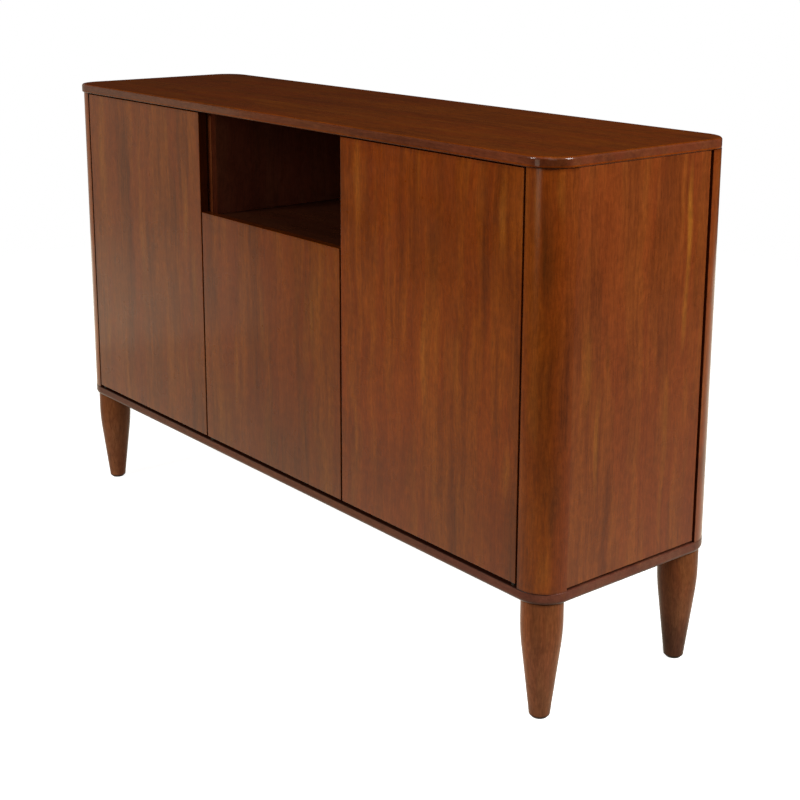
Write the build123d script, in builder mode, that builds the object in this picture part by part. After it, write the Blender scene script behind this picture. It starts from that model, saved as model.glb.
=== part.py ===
import os

from build123d import *

# Case, in millimetres. The origin is on the floor under the middle of the whole, with the
# overhang of the top. +X runs to the right along the front, +Y to the back and +Z up.
case_width = 1400  # across the outer faces of the corner posts
case_depth = 388
overall_height = 860
leg_height = 195  # floor to the underside of the base
corner_radius = 49  # plan radius of the posts
post_front_flat = 5  # flat of the post beside a door
post_side_flat = 1  # flat of the post beside a side panel

# Slabs
top_thickness = 17
top_overhang = 4  # past the doors; the sides and the back are flush with the posts
top_upper_easing = 4.5
top_lower_easing = 3
base_thickness = 19
base_lip = 0.5
base_lower_rounding = 8
base_upper_easing = 1.2

# Side panels stand back from the posts, with a shadow groove at the rear post and the base
side_thickness = 18
side_recess = 2.5
shadow_gap = 3.5
shadow_depth = 5

# Fronts
door_thickness = 16
door_gap = 4  # beside and between the doors
door_top_gap = 2.5
door_bottom_gap = 5.5
door_edge_easing = 0.8
swing_clearance = 0.8  # kept free round a door's hinge edge as it turns
niche_opening = 187  # underside of the top to the top edge of the middle door

# Inner panels
divider_thickness = 18
niche_shelf_thickness = 18
niche_lip = 6  # the middle door stands this far above the niche floor
back_thickness = 6
back_recess = 6
back_rebate = 10
shelf_thickness = 16
shelf_level = 520  # top of the loose shelves
shelf_setback = 15
shelf_clearance = 1

# Legs and feet
leg_inset = 40  # leg axis from the post faces
leg_radius = 32.5
leg_knee_height = 139  # where the straight taper would meet the round shoulder
leg_knee_radius = 400
foot_radius = 16
foot_rounding = 2
glide_radius = 13
glide_thickness = 3
glide_rounding = 1
glide_nail_radius = 1.5
glide_nail_length = 14
bolt_radius = 4
bolt_in_leg = 36
bolt_in_base = 14
insert_radius = 6.5
insert_depth = 16

# Door pivots
pivot_radius = 3
pivot_embed = 25
pivot_engagement = 10
pivot_collar_radius = 5
bush_radius = 5.5
bush_depth = 12
running_clearance = 0.05  # pivots in their bushes
thrust_clearance = 0.2
arm_thickness = 3
arm_radius = 4.5
arm_pin_radius = 2
arm_pin_tail = 16
arm_slot_side = 1.1
arm_slot_height = 0.3
arm_divider_clearance = 0.3
arm_door_clearance = 2
arm_plate_width = 30
arm_plate_depth = 36
arm_screw_spacing = 14

# Catches
catch_level = 430
catch_width = 12
catch_depth = 20
catch_height = 45
catch_air_gap = 0.3
catch_screw_spacing = 28
strike_width = 10
strike_height = 36
strike_thickness = 1.5

# Fasteners
fit_clearance = 0.05  # glued or pressed pins in their holes
dowel_radius = 4
dowel_shallow = 10
dowel_deep = 25
post_dowel_inset = 27
side_dowel_spacing = 160
divider_dowel_spacing = 220
niche_dowel_spacing = 220
niche_dowel_depth = 9
screw_radius = 1.5
screw_head_radius = 3.2
screw_head_height = 1.8
screw_bite = 8
back_screw_levels = 3
back_screw_margin = 60
shelf_pin_radius = 2.5
shelf_pin_bore = 9
shelf_pin_spacing = 200
spoon_length = 10
spoon_width = 12
spoon_thickness = 3

# Planes of the case
front = -case_depth / 2
back = case_depth / 2
side = case_width / 2
base_top = leg_height + base_thickness
top_underside = overall_height - top_thickness
case_height = top_underside - base_top
post_front = corner_radius + post_front_flat
post_side = corner_radius + post_side_flat
post_edge = side - post_front
side_panel_face = side - side_recess
side_panel_inside = side_panel_face - side_thickness
side_panel_middle = side_panel_face - side_thickness / 2
side_panel_end = back - post_side
centring = (top_overhang - base_lip) / 2  # moves the case back, so that the whole is centred

# Doors: three of one width, with one gap beside and between them
door_count = 3
door_width = (2 * post_edge - (door_count + 1) * door_gap) / door_count
door_pitch = door_width + door_gap
divider_centre = door_pitch / 2
divider_inner = divider_centre - divider_thickness / 2
divider_outer = divider_centre + divider_thickness / 2
door_bottom = base_top + door_bottom_gap
tall_door_top = top_underside - door_top_gap
middle_door_top = top_underside - niche_opening
door_back = front + door_thickness

# A door turns on an axis in the middle of its thickness. The axis is set in from the
# hinge edge so that the square corners just pass the neighbour and the inner panels.
pivot_y = front + door_thickness / 2
swing_gap = door_gap - swing_clearance
pivot_inset = ((door_thickness / 2) ** 2 - swing_gap**2) / (2 * swing_gap)
swing_radius = pivot_inset + swing_gap
divider_front = pivot_y + swing_radius + swing_clearance
back_panel_front = back - back_recess - back_thickness
divider_length = back_panel_front - divider_front
divider_mid_y = (divider_front + back_panel_front) / 2

tall_pivot_x = side - post_front - door_gap - pivot_inset
middle_pivot_x = -(door_width / 2 - pivot_inset)
lower_pivots = [(-tall_pivot_x, pivot_y), (middle_pivot_x, pivot_y), (tall_pivot_x, pivot_y)]
upper_pivots = [(-tall_pivot_x, pivot_y), (tall_pivot_x, pivot_y)]

niche_floor = middle_door_top - niche_lip
niche_underside = niche_floor - niche_shelf_thickness
arm_bottom = niche_underside - arm_thickness

# Places that repeat
corners = [(-1, -1), (1, -1), (-1, 1), (1, 1)]
leg_spots = [(x * (side - leg_inset), y * (back - leg_inset)) for x, y in corners]
post_dowel_spots = [(x * (side - post_dowel_inset), y * (back - post_dowel_inset)) for x, y in corners]
side_dowel_spots = [(x * side_panel_middle, y * side_dowel_spacing / 2) for x, y in corners]
divider_dowel_spots = [(x * divider_centre, divider_mid_y + y * divider_dowel_spacing / 2) for x, y in corners]
case_dowel_spots = post_dowel_spots + side_dowel_spots + divider_dowel_spots
niche_dowel_ys = [divider_mid_y - niche_dowel_spacing / 2, divider_mid_y + niche_dowel_spacing / 2]
niche_dowel_level = niche_underside + niche_shelf_thickness / 2
shelf_pin_ys = [-shelf_pin_spacing / 2, shelf_pin_spacing / 2]
shelf_underside = shelf_level - shelf_thickness
shelf_pin_level = shelf_underside - spoon_thickness / 2
screw_step = (case_height - 2 * back_screw_margin) / (back_screw_levels - 1)
back_screw_zs = [base_top + back_screw_margin + i * screw_step for i in range(back_screw_levels)]
back_screw_x = [post_edge + back_rebate / 2, divider_centre]
back_screw_spots = [(s * x, z) for x in back_screw_x for s in (-1, 1) for z in back_screw_zs]
catch_front = door_back + strike_thickness + catch_air_gap
catch_middle_y = catch_front + catch_depth / 2
catch_screw_zs = [catch_level - catch_screw_spacing / 2, catch_level + catch_screw_spacing / 2]
arm_plate_left = -divider_inner + arm_divider_clearance
arm_plate_front = door_back + arm_door_clearance
arm_screw_x = arm_plate_left + arm_plate_width / 2
arm_screw_first_y = divider_front + arm_screw_spacing / 2
arm_screw_spots = [(arm_screw_x, arm_screw_first_y + i * arm_screw_spacing) for i in range(2)]

# A catch is screwed to the face of a divider: face position, and the side it stands on
catches = {
    "left_door": (-divider_outer, -1),
    "middle_door": (divider_inner, -1),
    "right_door": (divider_outer, 1),
}

os.makedirs("parts", exist_ok=True)


def save(piece, name):
    placed = piece.moved(Location((0, centring, 0)))
    placed.label = name
    export_step(placed, f"parts/{name}.step")


def facing(normal, origin):
    # A sketch plane at right angles to the X or Y axis, with its own second axis upright
    across = Vector(0, 0, 1).cross(Vector(normal))
    return Plane(origin=origin, x_dir=across, z_dir=normal)


# Top slab, with bushes for the tall doors and dowel holes in its underside
with BuildPart() as top_panel:
    with BuildSketch(Plane.XY.offset(top_underside)):
        with Locations((0, -top_overhang / 2)):
            RectangleRounded(case_width, case_depth + top_overhang, corner_radius)
    extrude(amount=top_thickness)
    fillet(top_panel.faces().sort_by(Axis.Z)[-1].edges(), top_upper_easing)
    fillet(top_panel.faces().sort_by(Axis.Z)[0].edges(), top_lower_easing)
    with BuildSketch(Plane.XY.offset(top_underside)):
        with Locations(*case_dowel_spots):
            Circle(dowel_radius + fit_clearance)
    extrude(amount=dowel_shallow, mode=Mode.SUBTRACT)
    with BuildSketch(Plane.XY.offset(top_underside)):
        with Locations(*upper_pivots):
            Circle(bush_radius + fit_clearance)
    extrude(amount=bush_depth, mode=Mode.SUBTRACT)
save(top_panel.part, "top_panel")

# Base slab, with a full round along its lower edge
with BuildPart() as base_panel:
    with BuildSketch(Plane.XY.offset(leg_height)):
        RectangleRounded(
            case_width + 2 * base_lip,
            case_depth + 2 * base_lip,
            corner_radius + base_lip,
        )
    extrude(amount=base_thickness)
    fillet(base_panel.faces().sort_by(Axis.Z)[0].edges(), base_lower_rounding)
    fillet(base_panel.faces().sort_by(Axis.Z)[-1].edges(), base_upper_easing)
    with BuildSketch(Plane.XY.offset(base_top)):
        with Locations(*case_dowel_spots):
            Circle(dowel_radius + fit_clearance)
    extrude(amount=-dowel_shallow, mode=Mode.SUBTRACT)
    with BuildSketch(Plane.XY.offset(base_top)):
        with Locations(*lower_pivots):
            Circle(bush_radius + fit_clearance)
    extrude(amount=-bush_depth, mode=Mode.SUBTRACT)
    with BuildSketch(Plane.XY.offset(leg_height)):
        with Locations(*leg_spots):
            Circle(insert_radius + fit_clearance)
    extrude(amount=insert_depth, mode=Mode.SUBTRACT)
save(base_panel.part, "base_panel")

# Quarter-round corner posts. The rear ones are rebated for the back panel.
for x_side, y_side in corners:
    with BuildPart() as post:
        with BuildSketch(Plane.XY.offset(base_top)) as section:
            with Locations((x_side * (side - post_front / 2), y_side * (back - post_side / 2))):
                Rectangle(post_front, post_side)
            outer_corner = section.vertices().sort_by(Axis((0, 0, 0), (x_side, y_side, 0)))[-1]
            fillet(outer_corner, corner_radius)
        extrude(amount=case_height)
        if y_side > 0:
            with BuildSketch(Plane.XY.offset(base_top)):
                with Locations((x_side * post_edge, back)):
                    Rectangle(2 * back_rebate, 2 * (back_recess + back_thickness))
            extrude(amount=case_height, mode=Mode.SUBTRACT)
            for z in back_screw_zs:
                screw_origin = (x_side * back_screw_x[0], back_panel_front, z)
                with BuildSketch(facing((0, -1, 0), screw_origin)):
                    Circle(screw_radius + fit_clearance)
                extrude(amount=screw_bite, mode=Mode.SUBTRACT)
        dowel_spot = (x_side * (side - post_dowel_inset), y_side * (back - post_dowel_inset))
        for level, reach in ((base_top, dowel_deep), (top_underside, -dowel_deep)):
            with BuildSketch(Plane.XY.offset(level)):
                with Locations(dowel_spot):
                    Circle(dowel_radius + fit_clearance)
            extrude(amount=reach, mode=Mode.SUBTRACT)
    save(post.part, ("front" if y_side < 0 else "rear") + ("_left" if x_side < 0 else "_right") + "_post")

# Side panels: a core that fills the space between the posts, and a smaller raised face
for x_side, name in ((-1, "left_side_panel"), (1, "right_side_panel")):
    core_thickness = side_thickness - shadow_depth
    with BuildPart() as side_panel:
        with BuildSketch(Plane.XY.offset(base_top)):
            with Locations((x_side * (side_panel_inside + core_thickness / 2), 0)):
                Rectangle(core_thickness, 2 * side_panel_end)
        extrude(amount=case_height)
        with BuildSketch(Plane.XY.offset(base_top + shadow_gap)):
            with Locations((x_side * side_panel_middle, -shadow_gap / 2)):
                Rectangle(side_thickness, 2 * side_panel_end - shadow_gap)
        extrude(amount=case_height - shadow_gap)
        for level, reach in ((base_top, dowel_deep), (top_underside, -dowel_deep)):
            with BuildSketch(Plane.XY.offset(level)):
                with Locations(*[spot for spot in side_dowel_spots if spot[0] * x_side > 0]):
                    Circle(dowel_radius + fit_clearance)
            extrude(amount=reach, mode=Mode.SUBTRACT)
        for y in shelf_pin_ys:
            pin_origin = (x_side * side_panel_inside, y, shelf_pin_level)
            with BuildSketch(facing((x_side, 0, 0), pin_origin)):
                Circle(shelf_pin_radius + fit_clearance)
            extrude(amount=shelf_pin_bore, mode=Mode.SUBTRACT)
    save(side_panel.part, name)

# Upright dividers behind the door gaps
for x_side, name in ((-1, "left_divider"), (1, "right_divider")):
    with BuildPart() as divider:
        with BuildSketch(Plane.XY.offset(base_top)):
            with Locations((x_side * divider_centre, divider_mid_y)):
                Rectangle(divider_thickness, divider_length)
        extrude(amount=case_height)
        for level, reach in ((base_top, dowel_deep), (top_underside, -dowel_deep)):
            with BuildSketch(Plane.XY.offset(level)):
                with Locations(*[spot for spot in divider_dowel_spots if spot[0] * x_side > 0]):
                    Circle(dowel_radius + fit_clearance)
            extrude(amount=reach, mode=Mode.SUBTRACT)
        for y in niche_dowel_ys:
            with BuildSketch(facing((x_side, 0, 0), (x_side * divider_inner, y, niche_dowel_level))):
                Circle(dowel_radius + fit_clearance)
            extrude(amount=niche_dowel_depth, mode=Mode.SUBTRACT)
        for y in shelf_pin_ys:
            with BuildSketch(facing((-x_side, 0, 0), (x_side * divider_outer, y, shelf_pin_level))):
                Circle(shelf_pin_radius + fit_clearance)
            extrude(amount=shelf_pin_bore, mode=Mode.SUBTRACT)
        for face_x, stands in catches.values():
            if face_x * x_side > 0:
                for z in catch_screw_zs:
                    with BuildSketch(facing((-stands, 0, 0), (face_x, catch_middle_y, z))):
                        Circle(screw_radius + fit_clearance)
                    extrude(amount=screw_bite, mode=Mode.SUBTRACT)
        for z in back_screw_zs:
            with BuildSketch(facing((0, -1, 0), (x_side * divider_centre, back_panel_front, z))):
                Circle(screw_radius + fit_clearance)
            extrude(amount=screw_bite, mode=Mode.SUBTRACT)
    save(divider.part, name)

# Floor of the open niche, doweled between the dividers
with BuildPart() as niche_shelf:
    with BuildSketch(Plane.XY.offset(niche_underside)):
        with Locations((0, divider_mid_y)):
            Rectangle(2 * divider_inner, divider_length)
    extrude(amount=niche_shelf_thickness)
    for x_side in (-1, 1):
        for y in niche_dowel_ys:
            with BuildSketch(facing((-x_side, 0, 0), (x_side * divider_inner, y, niche_dowel_level))):
                Circle(dowel_radius + fit_clearance)
            extrude(amount=dowel_deep, mode=Mode.SUBTRACT)
    with BuildSketch(Plane.XY.offset(niche_underside)):
        with Locations(*arm_screw_spots):
            Circle(screw_radius + fit_clearance)
    extrude(amount=screw_bite, mode=Mode.SUBTRACT)
save(niche_shelf.part, "niche_shelf")

# Thin back panel in the rebates of the rear posts
with BuildPart() as back_panel:
    with BuildSketch(Plane.XY.offset(base_top)):
        with Locations((0, back_panel_front + back_thickness / 2)):
            Rectangle(2 * (post_edge + back_rebate), back_thickness)
    extrude(amount=case_height)
    with BuildSketch(facing((0, 1, 0), (0, back_panel_front, 0))):
        with Locations(*back_screw_spots):
            Circle(screw_radius + fit_clearance)
    extrude(amount=back_thickness, mode=Mode.SUBTRACT)
save(back_panel.part, "back_panel")

# Pan-head screws that hold the back panel
with BuildPart() as back_panel_screws:
    with BuildSketch(facing((0, 1, 0), (0, back_panel_front - screw_bite, 0))):
        with Locations(*back_screw_spots):
            Circle(screw_radius)
    extrude(amount=screw_bite + back_thickness)
    with BuildSketch(facing((0, 1, 0), (0, back_panel_front + back_thickness, 0))):
        with Locations(*back_screw_spots):
            Circle(screw_head_radius)
    extrude(amount=screw_head_height)
save(back_panel_screws.part, "back_panel_screws")

# Loose shelves, notched round the posts and resting on four pins each
shelf_front = divider_front + shelf_setback
shelf_back = back_panel_front - shelf_clearance
shelf_end = side_panel_inside - shelf_clearance
shelf_start = divider_outer + shelf_clearance
for x_side, name in ((-1, "left_shelf"), (1, "right_shelf")):
    with BuildPart() as shelf:
        with BuildSketch(Plane.XY.offset(shelf_underside)):
            with Locations((x_side * (shelf_start + shelf_end) / 2, (shelf_front + shelf_back) / 2)):
                Rectangle(shelf_end - shelf_start, shelf_back - shelf_front)
            for y_side in (-1, 1):
                with Locations((x_side * (side - post_front / 2), y_side * (back - post_side / 2))):
                    Rectangle(
                        post_front + 2 * shelf_clearance,
                        post_side + 2 * shelf_clearance,
                        mode=Mode.SUBTRACT,
                    )
        extrude(amount=shelf_thickness)
    save(shelf.part, name)

# Shelf pins: a round shank in the panel and a flat spoon under the shelf
with BuildPart() as shelf_pins:
    for x_side in (-1, 1):
        for face_x, stands in ((side_panel_inside, -1), (divider_outer, 1)):
            for y in shelf_pin_ys:
                pin_face = (x_side * face_x, y, shelf_pin_level)
                with BuildSketch(facing((-x_side * stands, 0, 0), pin_face)):
                    Circle(shelf_pin_radius)
                extrude(amount=shelf_pin_bore)
                with BuildSketch(facing((x_side * stands, 0, 0), pin_face)):
                    Rectangle(spoon_width, spoon_thickness)
                extrude(amount=spoon_length)
save(shelf_pins.part, "shelf_pins")


def dowels(spots, name):
    # Upright dowels, one through the base joint and one through the top joint at each spot
    with BuildPart() as pegs:
        with BuildSketch(Plane.XY.offset(base_top - dowel_shallow)):
            with Locations(*spots):
                Circle(dowel_radius)
        extrude(amount=dowel_shallow + dowel_deep)
        with BuildSketch(Plane.XY.offset(top_underside - dowel_deep)):
            with Locations(*spots):
                Circle(dowel_radius)
        extrude(amount=dowel_shallow + dowel_deep)
    save(pegs.part, name)


dowels(post_dowel_spots, "post_dowels")
dowels(side_dowel_spots, "side_panel_dowels")
dowels(divider_dowel_spots, "divider_dowels")

# Level dowels between the dividers and the niche floor
with BuildPart() as niche_dowels:
    for x_side in (-1, 1):
        for y in niche_dowel_ys:
            outer_end = (x_side * (divider_inner + niche_dowel_depth), y, niche_dowel_level)
            with BuildSketch(facing((-x_side, 0, 0), outer_end)):
                Circle(dowel_radius)
            extrude(amount=niche_dowel_depth + dowel_deep)
save(niche_dowels.part, "niche_shelf_dowels")

# Turned legs: round shoulder, blended into a straight taper, with a bolt hole in the top
for (leg_x, leg_y), (x_side, y_side) in zip(leg_spots, corners):
    with BuildPart() as leg:
        with BuildSketch(facing((0, -1, 0), (leg_x, leg_y, 0))):
            with BuildLine():
                contour = FilletPolyline(
                    (leg_radius, leg_height),
                    (leg_radius, leg_knee_height),
                    (foot_radius, glide_thickness),
                    radius=leg_knee_radius,
                )
                Polyline(contour @ 1, (0, glide_thickness), (0, leg_height), contour @ 0)
            make_face()
        revolve(axis=Axis((leg_x, leg_y, 0), (0, 0, 1)))
        fillet(leg.faces().sort_by(Axis.Z)[0].edges(), foot_rounding)
        with BuildSketch(Plane.XY.offset(leg_height)):
            with Locations((leg_x, leg_y)):
                Circle(bolt_radius + fit_clearance)
        extrude(amount=-bolt_in_leg, mode=Mode.SUBTRACT)
        with BuildSketch(Plane.XY.offset(glide_thickness)):
            with Locations((leg_x, leg_y)):
                Circle(glide_nail_radius + fit_clearance)
        extrude(amount=glide_nail_length, mode=Mode.SUBTRACT)
    save(leg.part, ("front" if y_side < 0 else "rear") + ("_left" if x_side < 0 else "_right") + "_leg")

# Hanger bolts in the legs and the threaded inserts that they turn into
with BuildPart() as leg_bolts:
    with BuildSketch(Plane.XY.offset(leg_height - bolt_in_leg)):
        with Locations(*leg_spots):
            Circle(bolt_radius)
    extrude(amount=bolt_in_leg + bolt_in_base)
save(leg_bolts.part, "leg_hanger_bolts")

with BuildPart() as leg_inserts:
    with BuildSketch(Plane.XY.offset(leg_height)):
        with Locations(*leg_spots):
            Circle(insert_radius)
            Circle(bolt_radius + fit_clearance, mode=Mode.SUBTRACT)
    extrude(amount=insert_depth)
save(leg_inserts.part, "leg_threaded_inserts")

# Nail-on glides under the feet
with BuildPart() as glides:
    with BuildSketch():
        with Locations(*leg_spots):
            Circle(glide_radius)
    extrude(amount=glide_thickness)
    fillet(glides.edges().group_by(Axis.Z)[0], glide_rounding)
    with BuildSketch(Plane.XY.offset(glide_thickness)):
        with Locations(*leg_spots):
            Circle(glide_nail_radius)
    extrude(amount=glide_nail_length)
save(glides.part, "foot_glides")

# Bushes that the door pivots turn in
with BuildPart() as lower_bushes:
    with BuildSketch(Plane.XY.offset(base_top - bush_depth)):
        with Locations(*lower_pivots):
            Circle(bush_radius)
            Circle(pivot_radius + running_clearance, mode=Mode.SUBTRACT)
    extrude(amount=bush_depth)
save(lower_bushes.part, "lower_pivot_bushes")

with BuildPart() as upper_bushes:
    with BuildSketch(Plane.XY.offset(top_underside)):
        with Locations(*upper_pivots):
            Circle(bush_radius)
            Circle(pivot_radius + running_clearance, mode=Mode.SUBTRACT)
    extrude(amount=bush_depth)
save(upper_bushes.part, "upper_pivot_bushes")

# Steel arm under the niche floor that carries the middle door's upper pivot
with BuildPart() as pivot_arm:
    with BuildSketch(Plane.XY.offset(arm_bottom)):
        with Locations((middle_pivot_x, pivot_y)):
            Circle(arm_radius)
        neck_end = divider_front - arm_divider_clearance
        with Locations((middle_pivot_x, (pivot_y + neck_end) / 2)):
            Rectangle(2 * arm_radius, neck_end - pivot_y)
        plate_corner = (arm_plate_left, arm_plate_front)
        with Locations(plate_corner):
            Rectangle(arm_plate_width, arm_plate_depth, align=(Align.MIN, Align.MIN))
        with Locations((middle_pivot_x, pivot_y)):
            Circle(arm_pin_radius + running_clearance, mode=Mode.SUBTRACT)
        with Locations(*arm_screw_spots):
            Circle(screw_radius + fit_clearance, mode=Mode.SUBTRACT)
    extrude(amount=arm_thickness)
save(pivot_arm.part, "middle_pivot_arm")

with BuildPart() as arm_screws:
    with BuildSketch(Plane.XY.offset(arm_bottom)):
        with Locations(*arm_screw_spots):
            Circle(screw_radius)
    extrude(amount=arm_thickness + screw_bite)
    with BuildSketch(Plane.XY.offset(arm_bottom)):
        with Locations(*arm_screw_spots):
            Circle(screw_head_radius)
    extrude(amount=-screw_head_height)
save(arm_screws.part, "pivot_arm_screws")

# Magnetic catches on the dividers, each held by two screws
with BuildPart() as magnetic_catches:
    for face_x, stands in catches.values():
        catch_origin = (face_x, catch_middle_y, catch_level)
        with BuildSketch(facing((stands, 0, 0), catch_origin)):
            Rectangle(catch_depth, catch_height)
            with GridLocations(0, catch_screw_spacing, 1, 2):
                Circle(screw_radius + fit_clearance, mode=Mode.SUBTRACT)
        extrude(amount=catch_width)
save(magnetic_catches.part, "magnetic_catches")

with BuildPart() as catch_screws:
    for face_x, stands in catches.values():
        for z in catch_screw_zs:
            head_seat = (face_x + stands * catch_width, catch_middle_y, z)
            with BuildSketch(facing((-stands, 0, 0), head_seat)):
                Circle(screw_radius)
            extrude(amount=catch_width + screw_bite)
            with BuildSketch(facing((stands, 0, 0), head_seat)):
                Circle(screw_head_radius)
            extrude(amount=screw_head_height)
save(catch_screws.part, "catch_screws")

# Doors, and what turns with each: its pivots, strike plate and strike screw.
# Each entry gives the door's middle, its hinge axis and its top edge.
doors = {
    "left_door": (-door_pitch, -tall_pivot_x, tall_door_top),
    "middle_door": (0, middle_pivot_x, middle_door_top),
    "right_door": (door_pitch, tall_pivot_x, tall_door_top),
}
for name, (door_x, pivot_x, door_top) in doors.items():
    face_x, stands = catches[name]
    strike_x = face_x + stands * catch_width / 2
    hinge_edge = door_x - door_width / 2
    reaches_top = door_top == tall_door_top

    with BuildPart() as door:
        with BuildSketch(Plane.XY.offset(door_bottom)):
            with Locations((door_x, pivot_y)):
                Rectangle(door_width, door_thickness)
        extrude(amount=door_top - door_bottom)
        fillet(door.faces().sort_by(Axis.Y)[0].edges(), door_edge_easing)
        with BuildSketch(Plane.XY.offset(door_bottom)):
            with Locations((pivot_x, pivot_y)):
                Circle(pivot_radius + fit_clearance)
        extrude(amount=pivot_embed, mode=Mode.SUBTRACT)
        upper_depth = pivot_embed if reaches_top else door_top - arm_bottom + arm_pin_tail
        with BuildSketch(Plane.XY.offset(door_top)):
            with Locations((pivot_x, pivot_y)):
                Circle((pivot_radius if reaches_top else arm_pin_radius) + fit_clearance)
        extrude(amount=-upper_depth, mode=Mode.SUBTRACT)
        if not reaches_top:
            # Slot for the pivot arm, open to the back and to the hinge edge
            slot_front = pivot_y - arm_radius - arm_slot_side
            slot_right = pivot_x + arm_radius + arm_slot_side
            with BuildSketch(Plane.XY.offset(arm_bottom - arm_slot_height)):
                with Locations((hinge_edge, slot_front)):
                    Rectangle(slot_right - hinge_edge, door_back - slot_front, align=(Align.MIN, Align.MIN))
            extrude(amount=arm_thickness + 2 * arm_slot_height, mode=Mode.SUBTRACT)
        with BuildSketch(facing((0, -1, 0), (strike_x, door_back, catch_level))):
            Circle(screw_radius + fit_clearance)
        extrude(amount=screw_bite, mode=Mode.SUBTRACT)
    save(door.part, name)

    with BuildPart() as lower_pivot:
        with BuildSketch(Plane.XY.offset(base_top - pivot_engagement)):
            with Locations((pivot_x, pivot_y)):
                Circle(pivot_radius)
        extrude(amount=pivot_engagement + door_bottom_gap + pivot_embed)
        with BuildSketch(Plane.XY.offset(base_top + thrust_clearance)):
            with Locations((pivot_x, pivot_y)):
                Circle(pivot_collar_radius)
        extrude(amount=door_bottom_gap - thrust_clearance)
    save(lower_pivot.part, f"{name}_lower_pivot")

    with BuildPart() as upper_pivot:
        if reaches_top:
            with BuildSketch(Plane.XY.offset(door_top - pivot_embed)):
                with Locations((pivot_x, pivot_y)):
                    Circle(pivot_radius)
            extrude(amount=pivot_embed + door_top_gap + pivot_engagement)
        else:
            with BuildSketch(Plane.XY.offset(arm_bottom - arm_pin_tail)):
                with Locations((pivot_x, pivot_y)):
                    Circle(arm_pin_radius)
            extrude(amount=door_top - arm_bottom + arm_pin_tail)
    save(upper_pivot.part, f"{name}_upper_pivot")

    with BuildPart() as strike_plate:
        with BuildSketch(facing((0, 1, 0), (strike_x, door_back, catch_level))):
            Rectangle(strike_width, strike_height)
            Circle(screw_head_radius + fit_clearance, mode=Mode.SUBTRACT)
        extrude(amount=strike_thickness)
    save(strike_plate.part, f"{name}_strike_plate")

    with BuildPart() as strike_screw:
        with BuildSketch(facing((0, -1, 0), (strike_x, door_back, catch_level))):
            Circle(screw_radius)
        extrude(amount=screw_bite)
        with BuildSketch(facing((0, 1, 0), (strike_x, door_back, catch_level))):
            Circle(screw_head_radius)
        extrude(amount=strike_thickness)
    save(strike_screw.part, f"{name}_strike_screw")
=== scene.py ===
import math

import bpy
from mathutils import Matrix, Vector


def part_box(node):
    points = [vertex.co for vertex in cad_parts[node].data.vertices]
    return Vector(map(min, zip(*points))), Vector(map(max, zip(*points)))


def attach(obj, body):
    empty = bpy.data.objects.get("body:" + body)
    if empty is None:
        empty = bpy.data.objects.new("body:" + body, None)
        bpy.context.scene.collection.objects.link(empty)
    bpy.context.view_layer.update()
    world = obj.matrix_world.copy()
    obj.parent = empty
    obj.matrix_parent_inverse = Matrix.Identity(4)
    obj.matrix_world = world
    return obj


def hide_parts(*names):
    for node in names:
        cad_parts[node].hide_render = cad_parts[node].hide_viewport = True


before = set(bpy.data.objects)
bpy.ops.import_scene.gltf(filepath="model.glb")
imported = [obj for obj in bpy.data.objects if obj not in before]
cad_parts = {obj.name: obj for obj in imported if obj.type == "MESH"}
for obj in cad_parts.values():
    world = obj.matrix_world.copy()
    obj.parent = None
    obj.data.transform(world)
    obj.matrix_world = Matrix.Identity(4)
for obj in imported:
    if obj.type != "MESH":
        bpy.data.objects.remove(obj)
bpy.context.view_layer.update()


# node helpers: a value that is a socket gets linked, anything else is set on the socket
def addNode(tree, kind, inputs=None, **settings):
    node = tree.nodes.new(kind)
    for name, value in settings.items():
        setattr(node, name, value)
    for name, value in (inputs or {}).items():
        if isinstance(value, bpy.types.NodeSocket):
            tree.links.new(value, node.inputs[name])
        else:
            node.inputs[name].default_value = value
    return node


def startFinish(name):
    finish = bpy.data.materials.new(name)
    finish.use_nodes = True
    tree = finish.node_tree
    tree.nodes.clear()
    shader = addNode(tree, "ShaderNodeBsdfPrincipled")
    output = addNode(tree, "ShaderNodeOutputMaterial")
    tree.links.new(shader.outputs["BSDF"], output.inputs["Surface"])
    return finish, tree, shader


def objectPlace(tree):
    return addNode(tree, "ShaderNodeTexCoord").outputs["Object"]


def noiseOf(tree, place, scale, detail=2.0, roughness=0.5, distortion=0.0):
    node = addNode(tree, "ShaderNodeTexNoise", {
        "Vector": place, "Scale": scale, "Detail": detail,
        "Roughness": roughness, "Distortion": distortion})
    return node.outputs[0]


def mathOf(tree, operation, first, second=0.0, third=0.0, clamp=False):
    node = addNode(tree, "ShaderNodeMath", {0: first, 1: second, 2: third},
                   operation=operation, use_clamp=clamp)
    return node.outputs[0]


def spread(tree, value, low, high, newLow=0.0, newHigh=1.0):
    node = addNode(tree, "ShaderNodeMapRange", {
        "Value": value, "From Min": low, "From Max": high,
        "To Min": newLow, "To Max": newHigh}, interpolation_type="SMOOTHSTEP")
    return node.outputs[0]


def mixOf(tree, share, first, second, blend="MIX"):
    node = addNode(tree, "ShaderNodeMix", {0: share, 6: first, 7: second},
                   data_type="RGBA", blend_type=blend)
    return node.outputs[2]


def rampOf(tree, value, stops):
    node = addNode(tree, "ShaderNodeValToRGB", {"Fac": value})
    band = node.color_ramp
    while len(band.elements) < len(stops):
        band.elements.new(0.5)
    for element, (position, colour) in zip(band.elements, stops):
        element.position = position
        element.color = (*colour, 1.0)
    return node.outputs[0]


# a layer of streaks: noise drawn out along the grain, from its scale, stretch, detail and distortion
def grainOf(tree, place, look, layer):
    scale, stretch, detail, distortion = look[layer]
    squeeze = [1.0, 1.0, 1.0]
    squeeze["XYZ".index(look["grain"])] = stretch
    drawn = addNode(tree, "ShaderNodeMapping", {"Vector": place, "Location": look["seed"], "Scale": squeeze})
    return noiseOf(tree, drawn.outputs[0], scale, detail, look["grit"], distortion)


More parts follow.
